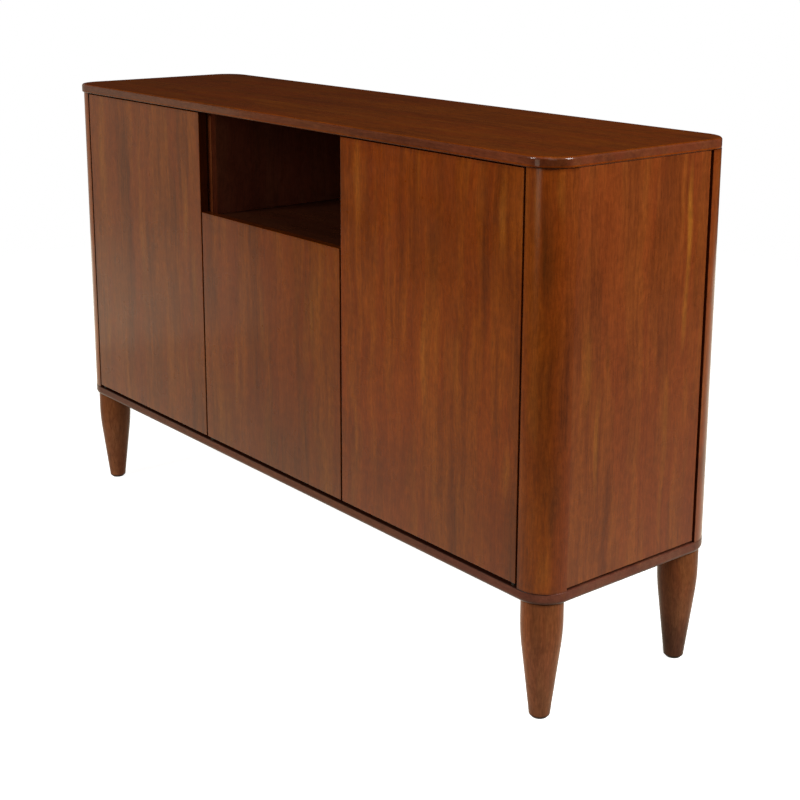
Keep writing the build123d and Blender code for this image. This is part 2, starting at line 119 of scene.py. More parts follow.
# listed streaks: (across, up, half width, half length, share), soft at the rim
def streaksOf(tree, place, axis, drift, streaks):
    total = None
    for across, up, halfWidth, halfLength, share in streaks:
        scale = [0.0, 0.0, 1.0 / halfLength]
        scale["XYZ".index(axis)] = 1.0 / halfWidth
        shift = [0.0, 0.0, -(up + drift) / halfLength]
        shift["XYZ".index(axis)] = -(across + drift) / halfWidth
        spot = addNode(tree, "ShaderNodeMapping", {"Vector": place, "Location": shift, "Scale": scale})
        away = addNode(tree, "ShaderNodeVectorMath", {0: spot.outputs[0]}, operation="LENGTH")
        streak = spread(tree, away.outputs["Value"], 1.0, 0.0, 0.0, share)
        total = streak if total is None else mathOf(tree, "ADD", total, streak, clamp=True)
    return total


# where the colour is darker or lighter, mostly painted shade, highlight and sheen, and some stain tone:
# a tint, and the stretches of X, Y, Z, |X| or |Y| over which it comes in
def tintZones(tree, place, colour, zones):
    parts = addNode(tree, "ShaderNodeSeparateXYZ", {0: place}).outputs
    for tint, stretches in zones:
        share = None
        for axis, low, high in stretches:
            value = parts["XYZ".index(axis.strip("|"))]
            if axis.startswith("|"):
                value = mathOf(tree, "ABSOLUTE", value)
            step = spread(tree, value, low, high)
            share = step if share is None else mathOf(tree, "MULTIPLY", share, step)
        colour = mixOf(tree, share, colour, (*tint, 1.0), "MULTIPLY")
    return colour


noiseSpan = (0.3, 0.7)


# stained veneer and solid wood under a satin lacquer:
# blotches, ribbons, lines, fibres, pores, flecks, golden flashes and placed streaks,
# with zones of painted shade, highlight and sheen
def woodFinish(name, look):
    finish, tree, shader = startFinish(name)
    place = objectPlace(tree)
    drift = addNode(tree, "ShaderNodeTexNoise", {"Vector": place, "Scale": look["swayScale"], "Detail": 1.0})
    sway = addNode(tree, "ShaderNodeVectorMath", {
        0: drift.outputs["Color"], 1: [look["sway"]] * 3, 2: place}, operation="MULTIPLY_ADD").outputs[0]

    lines = grainOf(tree, sway, look, "lines")
    tone = mathOf(tree, "MULTIPLY", grainOf(tree, sway, look, "blotch"), look["blotchShare"])
    tone = mathOf(tree, "MULTIPLY_ADD", grainOf(tree, sway, look, "ribbon"), look["ribbonShare"], third=tone)
    tone = mathOf(tree, "MULTIPLY_ADD", lines, 1.0 - look["blotchShare"] - look["ribbonShare"], third=tone)
    colour = rampOf(tree, tone, [
        (stop, look[shade]) for stop, shade in zip(look["toneStops"], ("dark", "mid", "mid2", "light"))])

    hue = spread(tree, grainOf(tree, sway, look, "hue"), *look["hueBand"])
    colour = mixOf(tree, mathOf(tree, "MULTIPLY", hue, look["redShare"]), colour, (*look["red"], 1.0))

    flash = spread(tree, grainOf(tree, sway, look, "flash"), *look["flashBand"])
    patch = spread(tree, noiseOf(tree, place, look["patchScale"], 1.0), *look["patchBand"])
    gold = mathOf(tree, "MULTIPLY", mathOf(tree, "MULTIPLY", flash, patch), look["goldShare"])
    broken = spread(tree, lines, *noiseSpan, *look["streakShade"])
    # placed streaks: grain figure, and on the post also a painted highlight (gold) and painted shade (umber)
    if "goldStreaksAndHighlights" in look:
        placed = streaksOf(tree, sway, look["across"], look["sway"] / 2, look["goldStreaksAndHighlights"])
        gold = mathOf(tree, "MAXIMUM", gold, mathOf(tree, "MULTIPLY", placed, broken), clamp=True)
    colour = mixOf(tree, gold, colour, (*look["gold"], 1.0))
    if "umberStreaksAndShade" in look:
        placed = streaksOf(tree, sway, look["across"], look["sway"] / 2, look["umberStreaksAndShade"])
        umber = mathOf(tree, "MULTIPLY", placed, broken, clamp=True)
        colour = mixOf(tree, umber, colour, (*look["umber"], 1.0))

    mottle = spread(tree, noiseOf(tree, sway, *look["mottle"]), *noiseSpan, *look["mottleShade"])
    fibre = spread(tree, grainOf(tree, sway, look, "fibre"), *noiseSpan, *look["fibreShade"])
    pore = spread(tree, grainOf(tree, sway, look, "pore"), *look["poreBand"])
    fleck = spread(tree, grainOf(tree, sway, look, "fleck"), *look["fleckBand"],
                   1.0 - look["fleckDepth"], 1.0 + look["fleckDepth"])
    shade = mathOf(tree, "MULTIPLY", mathOf(tree, "MULTIPLY", mottle, fibre), fleck)
    shade = mathOf(tree, "MULTIPLY", shade, mathOf(tree, "MULTIPLY_ADD", pore, -look["poreDepth"], third=1.0))
    grey = addNode(tree, "ShaderNodeCombineColor", {"Red": shade, "Green": shade, "Blue": shade}).outputs[0]
    colour = mixOf(tree, 1.0, colour, grey, "MULTIPLY")
    colour = tintZones(tree, place, colour, look.get("zones", []))

    height = mathOf(tree, "SUBTRACT", mathOf(tree, "MULTIPLY", fibre, look["fibreHeight"]), pore)
    bump = addNode(tree, "ShaderNodeBump", {
        "Strength": look["relief"], "Distance": look["reliefDepth"], "Height": height})
    gloss = spread(tree, noiseOf(tree, place, look["glossScale"]), *noiseSpan,
                   *[look["rough"] + shift for shift in look["roughShift"]])
    tree.links.new(colour, shader.inputs["Base Color"])
    tree.links.new(gloss, shader.inputs["Roughness"])
    tree.links.new(bump.outputs[0], shader.inputs["Normal"])
    shader.inputs["Specular IOR Level"].default_value = look["specular"]
    if "coatFrom" in look:
        level = addNode(tree, "ShaderNodeSeparateXYZ", {0: place}).outputs["Z"]
        lacquer = spread(tree, level, *look["coatFrom"], 0.0, look["coat"])
        tree.links.new(lacquer, shader.inputs["Coat Weight"])
    else:
        shader.inputs["Coat Weight"].default_value = look["coat"]
    shader.inputs["Coat Roughness"].default_value = look["coatRough"]
    return finish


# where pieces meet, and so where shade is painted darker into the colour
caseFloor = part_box("base_panel")[1].z
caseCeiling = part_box("left_divider")[1].z
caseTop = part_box("top_panel")[1].z
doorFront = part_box("left_door")[0].y
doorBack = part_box("left_door")[1].y
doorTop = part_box("left_door")[1].z
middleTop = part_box("middle_door")[1].z
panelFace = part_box("right_side_panel")[1].x
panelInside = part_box("right_side_panel")[0].x
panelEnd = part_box("right_side_panel")[1].y
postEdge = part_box("front_right_post")[0].x
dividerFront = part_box("left_divider")[0].y
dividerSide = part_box("right_divider")[1].x
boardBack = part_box("back_panel")[1].y
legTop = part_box("front_left_leg")[1].z
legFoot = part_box("front_left_leg")[0].z
doorSplit = 0.215
hair = 0.0006
# painted shade in the shadow grooves round the side panels and on the base
grooveShade = (0.42, 0.36, 0.32)
# painted shade on the edge faces that stand in the gaps round the doors
gapEdgeShade = (0.52, 0.46, 0.42)
# painted shade deep in the gap under the doors
deepGapShade = (0.20, 0.17, 0.16)
insideTint = (0.60, 0.60, 0.65)
onLeftDoor = ("X", hair - doorSplit, -hair - doorSplit)
onMiddleDoor = ("|X|", doorSplit + hair, doorSplit - hair)
onRightDoor = ("X", doorSplit - hair, doorSplit + hair)
onTopEdge = ("Z", caseTop - hair, caseTop - 3 * hair)

# layers are (scale, stretch, detail, distortion), bands the span of noise over which a layer comes in
faceLook = {
    "grain": "Z", "seed": (0.31, 0.12, 0.4), "sway": 0.02, "swayScale": 7.0, "grit": 0.55,
    "blotch": (15.0, 0.15, 3.0, 0.3), "ribbon": (70.0, 0.045, 2.0, 0.2), "lines": (230.0, 0.02, 2.0, 0.0),
    "hue": (26.0, 0.11, 2.0, 0.2), "flash": (34.0, 0.05, 1.0, 0.0), "fibre": (620.0, 0.03, 2.0, 0.0),
    "pore": (1500.0, 0.05, 1.0, 0.0), "fleck": (380.0, 0.2, 1.0, 0.0),
    "mottle": (70.0, 3.0, 0.6), "patchScale": 7.0, "glossScale": 16.0,
    "blotchShare": 0.46, "ribbonShare": 0.36, "redShare": 0.5, "goldShare": 0.25,
    "toneStops": (0.35, 0.465, 0.535, 0.66), "hueBand": (0.44, 0.60), "flashBand": (0.60, 0.74),
    "patchBand": (0.44, 0.62), "poreBand": (0.60, 0.70), "fleckBand": (0.35, 0.65),
    "streakShade": (0.75, 1.15), "mottleShade": (0.92, 1.08), "fibreShade": (0.90, 1.09),
    "fleckDepth": 0.08, "poreDepth": 0.28, "fibreHeight": 0.5, "relief": 0.08, "reliefDepth": 0.0002,
    "dark": (0.092, 0.0185, 0.0022), "mid": (0.139, 0.0288, 0.0026), "mid2": (0.175, 0.0382, 0.0030),
    "light": (0.226, 0.0560, 0.0046), "red": (0.168, 0.0280, 0.0026), "gold": (0.255, 0.0780, 0.0085),
    "umber": (0.086, 0.0190, 0.0026),
    "rough": 0.30, "roughShift": (-0.04, 0.05), "specular": 0.12, "coat": 0.28, "coatRough": 0.16,
}
doorLook = dict(
    faceLook, across="X",
    goldStreaksAndHighlights=[
        (-0.600, 0.710, 0.013, 0.095, 0.50), (-0.594, 0.345, 0.013, 0.095, 0.50),
        (-0.436, 0.545, 0.009, 0.095, 0.40), (-0.276, 0.640, 0.013, 0.130, 0.55),
        (-0.281, 0.345, 0.010, 0.080, 0.40), (-0.108, 0.375, 0.011, 0.120, 0.50),
        (0.135, 0.525, 0.011, 0.100, 0.55), (0.263, 0.765, 0.012, 0.130, 0.50),
        (0.257, 0.340, 0.009, 0.120, 0.40), (0.431, 0.520, 0.011, 0.130, 0.60),
        (0.486, 0.530, 0.009, 0.090, 0.25), (0.603, 0.765, 0.012, 0.090, 0.75),
        (0.615, 0.385, 0.013, 0.070, 0.50)],
    umberStreaksAndShade=[
        (0.410, 0.700, 0.022, 0.150, 0.45), (0.452, 0.680, 0.018, 0.140, 0.45),
        (0.151, 0.585, 0.006, 0.030, 0.50), (0.632, 0.560, 0.014, 0.150, 0.35),
        (0.300, 0.480, 0.045, 0.120, 0.25), (-0.250, 0.500, 0.016, 0.090, 0.25),
        (0.480, 0.710, 0.080, 0.150, 0.22)],
    zones=[
        (gapEdgeShade, [("Y", doorFront + hair, doorFront + 2 * hair),
                    ("Y", doorBack - hair / 2, doorBack - hair)]),
        (insideTint, [("Y", doorBack - hair, doorBack - hair / 2)]),
        # painted shade along the door tops, under the top slab and the niche shelf
        ((0.84, 0.82, 0.80), [("Z", doorTop - 0.007, doorTop - 0.001)]),
        ((0.84, 0.82, 0.80), [("Z", middleTop - 0.007, middleTop - 0.001), onMiddleDoor]),
        ((0.92, 0.93, 0.91), [("Z", middleTop - 0.070, middleTop - 0.020), ("X", 0.05, -0.05), onMiddleDoor]),
        ((1.19, 1.15, 1.06), [onRightDoor]),
        ((0.93, 0.91, 0.94), [onRightDoor, ("Z", 0.60, 0.70)]),
        ((0.83, 0.85, 0.90), [onRightDoor, ("Z", 0.44, 0.30)]),
        ((0.89, 0.94, 0.96), [onLeftDoor]),
        ((0.94, 0.96, 0.97), [onMiddleDoor]),
        ((0.86, 0.91, 0.95), [("Z", 0.40, 0.28), onMiddleDoor])])
# lighter and bluer than the door veneer: painted light and sheen on the side
sideLook = dict(
    faceLook, seed=(1.7, 2.3, 0.9), across="Y", dark=(0.100, 0.0202, 0.0046), mid=(0.154, 0.0336, 0.0062),
    mid2=(0.188, 0.0436, 0.0074), light=(0.226, 0.0580, 0.0092), red=(0.180, 0.0320, 0.0062),
    gold=(0.290, 0.0980, 0.0120),
    goldStreaksAndHighlights=[
        (0.101, 0.730, 0.009, 0.130, 1.00), (0.098, 0.600, 0.008, 0.090, 0.60),
        (-0.112, 0.545, 0.015, 0.090, 0.40), (-0.087, 0.430, 0.008, 0.110, 0.50)],
    umberStreaksAndShade=[
        (0.075, 0.590, 0.013, 0.110, 0.45), (0.119, 0.630, 0.012, 0.110, 0.40),
        (-0.070, 0.560, 0.009, 0.045, 0.40), (-0.060, 0.330, 0.018, 0.100, 0.30)],
    zones=[
        (grooveShade, [("|X|", panelFace - hair, panelFace - 2 * hair),
                      ("|X|", panelInside + hair / 2, panelInside + hair)]),
        (insideTint, [("|X|", panelInside + hair, panelInside + hair / 2)])])
postLook = dict(
    faceLook, seed=(3.1, 0.7, 1.9), across="X", dark=(0.096, 0.0186, 0.0020), mid=(0.150, 0.0294, 0.0024),
    mid2=(0.186, 0.0384, 0.0028), light=(0.234, 0.0540, 0.0042),
    # umber streaks on the post: grain, and painted shade on its curve between the front and right lights
    umberStreaksAndShade=[
        (0.6810, 0.710, 0.011, 0.130, 0.70), (0.6850, 0.390, 0.010, 0.140, 0.45),
        (0.6765, 0.720, 0.005, 0.110, 0.60), (0.6930, 0.340, 0.006, 0.090, 0.70)],
    # gold streaks on the post: painted highlight near the top of its curve and painted light lower down
    goldStreaksAndHighlights=[
        (0.694, 0.810, 0.006, 0.060, 0.40), (0.667, 0.790, 0.007, 0.080, 0.45),
        (0.685, 0.250, 0.009, 0.050, 0.30)],
    zones=[
        (grooveShade, [("|Y|", panelEnd + hair, panelEnd + hair / 2), ("Y", 0.0, 0.01)]),
        (gapEdgeShade, [("|X|", postEdge + hair, postEdge + hair / 2)]),
        # painted sheen, bluer, on the curve near the post's side
        ((1.00, 1.04, 2.00), [("|Y|", panelEnd + 0.032, panelEnd + 0.003)]),
        ((1.10, 1.12, 1.12), [("Z", 0.46, 0.30)]),
        # painted shade just under the top slab and just above the base
        ((0.70, 0.66, 0.62), [("Z", caseCeiling - 0.006, caseCeiling)]),
        ((0.70, 0.66, 0.62), [("Z", caseFloor + 0.004, caseFloor)])])
legLook = dict(
    faceLook, seed=(5.3, 4.1, 0.2), dark=(0.112, 0.0326, 0.0110), mid=(0.163, 0.0498, 0.0166),
    mid2=(0.186, 0.0596, 0.0190), light=(0.219, 0.0748, 0.0240), red=(0.182, 0.0454, 0.0154),
    fleck=(330.0, 0.2, 1.0, 0.0), fleckDepth=0.10, specular=0.03, coat=0.06, coatRough=0.30,
    zones=[
        # painted sheen, greyer and bluer, on the lower legs
        ((1.03, 1.13, 1.42), [("Z", 0.17, 0.09)]),
        # painted light on the front right leg; painted shade low on the right and rear legs, high on the left
        # legs
        ((1.20, 1.20, 1.16), [("X", 0.0, 0.1), ("Y", 0.1, 0.0)]),
        ((0.78, 0.82, 0.88), [("Z", 0.12, 0.02), ("X", -0.1, 0.1)]),
        ((0.58, 0.62, 0.72), [("Z", 0.10, 0.02), ("Y", 0.0, 0.1)]),
        ((0.92, 0.92, 0.94), [("X", 0.0, -0.1), ("Z", 0.09, 0.17)]),
        # painted shadow under the base at the leg tops
        ((0.74, 0.72, 0.70), [("Z", legTop - 0.006, legTop)]),
        ((0.30, 0.28, 0.28), [("Z", legFoot + 0.0045, legFoot + 0.0010)])])
topLook = dict(
    faceLook, grain="X", seed=(0.9, 5.1, 2.2), dark=(0.106, 0.0208, 0.0013), mid=(0.140, 0.0282, 0.0015),
    mid2=(0.160, 0.0338, 0.0017), light=(0.190, 0.0440, 0.0025), red=(0.160, 0.0264, 0.0015),
    gold=(0.245, 0.0720, 0.0050), specular=0.06, coat=0.40, coatRough=0.09,
    coatFrom=(caseCeiling + 0.002, caseCeiling + 0.004),
    zones=[
        # painted sheen, greyer and bluer, on the slab's edge band
        ((0.72, 1.02, 7.60), [onTopEdge, ("Z", caseCeiling + 0.003, caseCeiling + 0.005)]),
        ((1.22, 1.10, 1.00), [("X", 0.10, 0.55), onTopEdge]),
        ((0.90, 0.90, 0.97), [("X", -0.20, -0.60), onTopEdge]),
        ((0.55, 0.48, 0.38), [("X", 0.640, 0.674), ("Y", -0.146, -0.172),
                              ("Z", caseTop - 0.002, caseTop - 0.004)]),
        # painted shade just above the slab's underside
        ((0.55, 0.55, 0.60), [("Z", caseCeiling + 0.0030, caseCeiling + 0.0010)])])
# bluer than the other wood: painted sheen on the base
baseLook = dict(
    faceLook, grain="X", seed=(2.9, 1.1, 6.2), dark=(0.072, 0.0192, 0.0091), mid=(0.099, 0.0277, 0.0118),
    mid2=(0.113, 0.0333, 0.0138), light=(0.136, 0.0432, 0.0176), red=(0.111, 0.0252, 0.0107),
    specular=0.06, coat=0.10, coatRough=0.38,
    zones=[
        # painted sheen, bluer, on the right of the front and on the right side; darker to the left
        ((1.17, 1.30, 1.65), [("X", 0.20, 0.60)]),
        ((1.10, 1.15, 1.20), [("X", 0.660, 0.690)]),
        ((0.88, 0.85, 0.84), [("X", -0.2, -0.6)]),
        # painted shade on the lower rounding
        ((0.66, 0.64, 0.64), [("Z", legTop + 0.008, legTop + 0.002)]),
        # painted shade in the gap under the doors and in the grooves
        (deepGapShade, [("Z", caseFloor - 0.0020, caseFloor - 0.0008),
                    ("Y", dividerFront + 0.004, dividerFront)]),
        (grooveShade, [("Z", caseFloor - 0.0008, caseFloor - 0.0003), ("|X|", panelFace, panelFace - 0.001),
                      ("|X|", panelInside - 0.004, panelInside), ("Y", dividerFront, dividerFront + 0.004)])])
# inside wood, lighter than the outside veneer: painted light where little light reaches
insideLook = dict(
    faceLook, seed=(6.1, 0.5, 3.3), dark=(0.140, 0.0400, 0.0110), mid=(0.196, 0.0580, 0.0150),
    mid2=(0.222, 0.0670, 0.0175), light=(0.250, 0.0780, 0.0210), red=(0.210, 0.0490, 0.0135), goldShare=0.2,
    gold=(0.300, 0.1050, 0.0240), coat=0.1)
dividerLook = dict(
    insideLook, zones=[
        ((0.36, 0.29, 0.28), [("Y", dividerFront + 2 * hair, dividerFront + hair),
                              ("|X|", dividerSide - 0.0005, dividerSide - 0.0015)]),
        # painted light, bluer, on the divider sides just behind the front edge
        ((1.38, 1.06, 1.60), [("Y", dividerFront + hair, dividerFront + 2 * hair),
                              ("Y", dividerFront + 0.011, dividerFront + 0.008)]),
        # painted shade on the divider sides further in
        ((0.80, 0.74, 1.25), [("Y", dividerFront + 0.008, dividerFront + 0.012)])])
boardLook = dict(
    insideLook, seed=(8.2, 3.5, 1.1), goldShare=0.05,
    zones=[((0.36, 0.42, 0.80), [("Y", boardBack - 2 * hair, boardBack - hair)])])
shelfLook = dict(insideLook, grain="X", seed=(7.4, 1.9, 5.6))
# niche floor, far darker than the other inside wood: painted shade
nicheShadeLook = dict(
    insideLook, grain="X", seed=(4.4, 2.6, 1.3), dark=(0.024, 0.0064, 0.0024), mid=(0.031, 0.0082, 0.0030),
    mid2=(0.036, 0.0096, 0.0034), light=(0.044, 0.0122, 0.0042), red=(0.035, 0.0078, 0.0029),
    gold=(0.050, 0.0152, 0.0050), coat=0.0)
beechLook = dict(
    faceLook, seed=(2.2, 7.7, 0.6), dark=(0.40, 0.245, 0.120), mid=(0.47, 0.300, 0.155),
    mid2=(0.52, 0.340, 0.180), light=(0.58, 0.400, 0.225), red=(0.50, 0.290, 0.160), redShare=0.3,
    gold=(0.62, 0.450, 0.260), goldShare=0.3, rough=0.55, specular=0.30, coat=0.0)

metalGrain = {"lines": (900.0, 3.0, 0.6), "patch": (140.0, 3.0, 0.55), "speck": (1600.0, 1.0),
              "speckBand": (0.70, 0.78), "speckShare": 0.5, "tones": (0.35, 0.50, 0.65),
              "dulling": 0.12, "lineRough": 0.16, "relief": 0.15, "reliefDepth": 0.0001}


# plated steel and turned brass: fine brushed lines, dull patches and scattered dark specks
def metalFinish(name, look):
    finish, tree, shader = startFinish(name)
    place = objectPlace(tree)
    brush = addNode(tree, "ShaderNodeMapping", {"Vector": place, "Scale": look["brush"]}).outputs[0]
    lines = noiseOf(tree, brush, *metalGrain["lines"])
    patch = noiseOf(tree, place, *metalGrain["patch"])
    speck = spread(tree, noiseOf(tree, place, *metalGrain["speck"]), *metalGrain["speckBand"])
    colour = rampOf(tree, patch, [
        (stop, look[tone]) for stop, tone in zip(metalGrain["tones"], ("dull", "plain", "bright"))])
    speckled = mathOf(tree, "MULTIPLY", speck, metalGrain["speckShare"])
    colour = mixOf(tree, speckled, colour, (*look["spot"], 1.0))
    dulled = spread(tree, patch, *noiseSpan, look["rough"], look["rough"] + metalGrain["dulling"])
    rough = mathOf(tree, "MULTIPLY_ADD", lines, metalGrain["lineRough"], third=dulled)
    bump = addNode(tree, "ShaderNodeBump", {
        "Strength": metalGrain["relief"], "Distance": metalGrain["reliefDepth"], "Height": lines})
    tree.links.new(colour, shader.inputs["Base Color"])
    tree.links.new(rough, shader.inputs["Roughness"])
    tree.links.new(bump.outputs[0], shader.inputs["Normal"])
    shader.inputs["Metallic"].default_value = 1.0
    return finish


# moulded plastic: fine eggshell texture and faint cloudiness
def plasticFinish(name, look):
    finish, tree, shader = startFinish(name)
    place = objectPlace(tree)
    cloud = noiseOf(tree, place, *look["cloud"])
    grit = noiseOf(tree, place, *look["grit"])
    colour = rampOf(tree, cloud, [(0.35, look["dark"]), (0.65, look["light"])])
    rough = spread(tree, grit, *noiseSpan, *[look["rough"] + shift for shift in look["roughShift"]])
    bump = addNode(tree, "ShaderNodeBump", {
        "Strength": look["relief"], "Distance": look["reliefDepth"], "Height": grit})
    tree.links.new(colour, shader.inputs["Base Color"])
    tree.links.new(rough, shader.inputs["Roughness"])
    tree.links.new(bump.outputs[0], shader.inputs["Normal"])
    shader.inputs["Specular IOR Level"].default_value = look["specular"]
    return finish


steelLook = {"brush": (1.0, 1.0, 0.08), "dull": (0.36, 0.365, 0.38), "plain": (0.48, 0.485, 0.50),
             "bright": (0.60, 0.60, 0.60), "spot": (0.16, 0.15, 0.14), "rough": 0.28}
brassLook = {"brush": (1.0, 1.0, 0.15), "dull": (0.46, 0.29, 0.10), "plain": (0.60, 0.40, 0.15),
             "bright": (0.74, 0.52, 0.22), "spot": (0.22, 0.13, 0.05), "rough": 0.22}
darkSteelLook = {"brush": (1.0, 1.0, 0.08), "dull": (0.020, 0.018, 0.017), "plain": (0.034, 0.031, 0.029),
                 "bright": (0.055, 0.051, 0.048), "spot": (0.10, 0.06, 0.03), "rough": 0.36}
plasticLook = {"cloud": (60.0, 3.0, 0.5), "grit": (1800.0, 2.0, 0.6), "dark": (0.012, 0.011, 0.010),
               "light": (0.026, 0.024, 0.022), "rough": 0.48, "roughShift": (-0.06, 0.08),
               "relief": 0.25, "reliefDepth": 0.0001, "specular": 0.4}

finishes = {
    "doorVeneer": woodFinish("doorVeneer", doorLook),
    "sideVeneer": woodFinish("sideVeneer", sideLook),
    "postWood": woodFinish("postWood", postLook),
    "legWood": woodFinish("legWood", legLook),
    "topVeneer": woodFinish("topVeneer", topLook),
    "baseWood": woodFinish("baseWood", baseLook),
    "dividerWood": woodFinish("dividerWood", dividerLook),
    "boardWood": woodFinish("boardWood", boardLook),
    "shelfWood": woodFinish("shelfWood", shelfLook),
    "shadedNicheWood": woodFinish("shadedNicheWood", nicheShadeLook),
    "rawBeech": woodFinish("rawBeech", beechLook),
    "platedSteel": metalFinish("platedSteel", steelLook),
    "darkSteel": metalFinish("darkSteel", darkSteelLook),
    "turnedBrass": metalFinish("turnedBrass", brassLook),
    "darkPlastic": plasticFinish("darkPlastic", plasticLook),
}
print("finishes mixed:", len(finishes))


def dress(node, finish):
    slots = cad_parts[node].data.materials
    slots.clear()
    slots.append(finishes[finish])


# a word in a node's name tells its finish; the first match wins
finishByName = [
    ("dowels", "rawBeech"), ("bushes", "turnedBrass"), ("catches", "darkPlastic"), ("glides", "darkPlastic"),
    ("screw", "platedSteel"), ("bolts", "platedSteel"), ("inserts", "platedSteel"), ("pins", "platedSteel"),
    ("pivot", "darkSteel"), ("strike", "platedSteel"), ("niche_shelf", "shadedNicheWood"), ("shelf", "shelfWood"),
    ("side_panel", "sideVeneer"), ("post", "postWood"), ("leg", "legWood"), ("door", "doorVeneer"),
    ("divider", "dividerWood"), ("back_panel", "boardWood"), ("top_panel", "topVeneer"),
    ("base_panel", "baseWood"),
]
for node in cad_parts:
    dress(node, next(finish for word, finish in finishByName if word in node))
print("frame nodes dressed")

# hardware: modelled in millimetres at the origin, then brought to metres at its place
millimetre = 0.001
smoothAngle = 32
near = 0.01
facing = 0.9


def clearPick():
    bpy.ops.object.select_all(action="DESELECT")


def pickOnly(piece):
    clearPick()
    piece.select_set(True)
    bpy.context.view_layer.objects.active = piece


def leaveEdit():
    bpy.ops.object.mode_set(mode="OBJECT")


# faces or edges that pass a test: picked in object mode, then left picked in edit mode
def clearParts(kind):
    bpy.ops.object.mode_set(mode="EDIT")
    bpy.ops.mesh.select_mode(type=kind)
    bpy.ops.mesh.select_all(action="DESELECT")
    leaveEdit()


def pickFaces(piece, test):
    clearParts("FACE")
    for face in piece.data.polygons:
        face.select = test(face)
    bpy.ops.object.mode_set(mode="EDIT")


def pickEdges(piece, test):
    clearParts("EDGE")
    spots = piece.data.vertices
    for edge in piece.data.edges:
        edge.select = test(*[spots[i].co for i in edge.vertices])
    bpy.ops.object.mode_set(mode="EDIT")


def fixPlace():
    bpy.ops.object.transform_apply(location=True, rotation=True, scale=True)


def bevelEdges(offset, segments):
    bpy.ops.mesh.bevel(offset=offset, segments=segments, affect="EDGES")


def pullOut(way):
    bpy.ops.mesh.extrude_region_move(TRANSFORM_OT_translate={"value": way})


def swell(share):
    bpy.ops.transform.resize(value=(share, share, 1.0), center_override=(0, 0, 0))


def startBlock(size, middle):
    clearPick()
    bpy.ops.mesh.primitive_cube_add(size=1.0, location=middle, scale=size)
    fixPlace()
    return bpy.context.object


def startRod(radius, low, high, sides=32):
    clearPick()
    bpy.ops.mesh.primitive_cylinder_add(
        vertices=sides, radius=radius, depth=high - low, location=(0, 0, (low + high) / 2))
    fixPlace()
    return bpy.context.object


def meetWith(piece, other, operation):
    pickOnly(piece)
    bpy.ops.object.modifier_add(type="BOOLEAN")
    meeting = piece.modifiers[-1]
    meeting.operation = operation
    meeting.object = other
    bpy.ops.object.modifier_apply(modifier=meeting.name)
    pickOnly(other)
    bpy.ops.object.delete()
    pickOnly(piece)


# copies at (spot in metres, turn in degrees), joined to one piece that rides on a body
def setCopies(master, name, places, finish, body, nodes):
    copies = []
    for spot, turn in places:
        pickOnly(master)
        bpy.ops.object.duplicate()
        copy = bpy.context.object
        copy.location = spot
        copy.rotation_euler = [math.radians(t) for t in turn]
        copy.scale = [millimetre] * 3
        copies.append(copy)
    clearPick()
    for copy in copies:
        copy.select_set(True)
    bpy.context.view_layer.objects.active = copies[0]
    fixPlace()
    if len(copies) > 1:
        bpy.ops.object.join()
    piece = bpy.context.object
    bpy.ops.object.mode_set(mode="EDIT")
    bpy.ops.mesh.select_all(action="SELECT")
    bpy.ops.mesh.normals_make_consistent(inside=False)
    leaveEdit()
    bpy.ops.object.shade_smooth_by_angle(angle=math.radians(smoothAngle))
    piece.name = name
    piece.data.materials.clear()
    piece.data.materials.append(finishes[finish])
    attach(piece, body)
    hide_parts(*nodes)


def dropMaster(master):
    pickOnly(master)
    bpy.ops.object.delete()


screwLook = {"headRadius": 3.2, "crown": 0.95, "crownSteps": 5, "crossWidth": 0.85, "crossLength": 3.7,
             "crossDepth": 0.9, "crossTaper": 0.6, "thread": 1.5, "core": 1.12, "pitch": 1.25,
             "flank": 0.6, "tip": 2.2, "point": 0.12, "rowTurn": 23, "armTurn": 15}


# pan-head screw with its head up: crowned head, cross recess, ringed shank and a point
def makeScrew(headHeight, length):
    screw = startRod(screwLook["headRadius"], 0.0, headHeight)
    pickEdges(screw, lambda a, b: min(a.z, b.z) > headHeight - near)
    bevelEdges(screwLook["crown"], screwLook["crownSteps"])
    pickFaces(screw, lambda face: face.normal.z < -facing)
    bpy.ops.mesh.inset(thickness=screwLook["headRadius"] - screwLook["thread"])
    neck = screwLook["core"] / screwLook["thread"]
    pitch = screwLook["pitch"]
    turns = int((length - screwLook["tip"]) / pitch)
    rest = length - screwLook["tip"] - turns * pitch
    pullOut((0, 0, -rest))
    for step in range(turns):
        pullOut((0, 0, -screwLook["flank"] * pitch))
        swell(neck)
        pullOut((0, 0, -(1.0 - screwLook["flank"]) * pitch))
        swell(1.0 / neck)
    pullOut((0, 0, -screwLook["tip"]))
    swell(screwLook["point"])
    leaveEdit()
    for turn in (0, 90):
        reach = 2 * screwLook["crossDepth"]
        cross = startBlock((screwLook["crossWidth"], screwLook["crossLength"], reach), (0, 0, headHeight))
        pickFaces(cross, lambda face: face.normal.z < -facing)
        swell(screwLook["crossTaper"])
        leaveEdit()
        cross.rotation_euler[2] = math.radians(turn)
        fixPlace()
        meetWith(screw, cross, "DIFFERENCE")
    return screw


def halfway(low, high):
    return (low + high) / 2


catchLook = {"size": (12.0, 20.0, 45.0), "nose": 1.0, "corner": 1.4, "cornerSteps": 4, "arris": 0.5,
             "arrisSteps": 2, "pocketRim": 1.7, "pocketDepth": 2.2, "screwLength": 20.0,
             "plateSize": (1.3, 18.0, 32.0), "plateSpread": 2.9, "plateCorner": 1.6,
             "magnetSize": (4.2, 15.0, 31.0), "magnetBack": 1.2, "magnetRim": 0.5, "magnetCrown": 0.3}
headInset = screwLook["headRadius"] * millimetre
catchWidth = catchLook["size"][0] * millimetre
armThickness = 3 * millimetre
dividerIn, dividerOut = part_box("right_divider")[0].x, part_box("right_divider")[1].x
catchLow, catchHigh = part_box("magnetic_catches")
catchMiddle = halfway(catchLow, catchHigh)

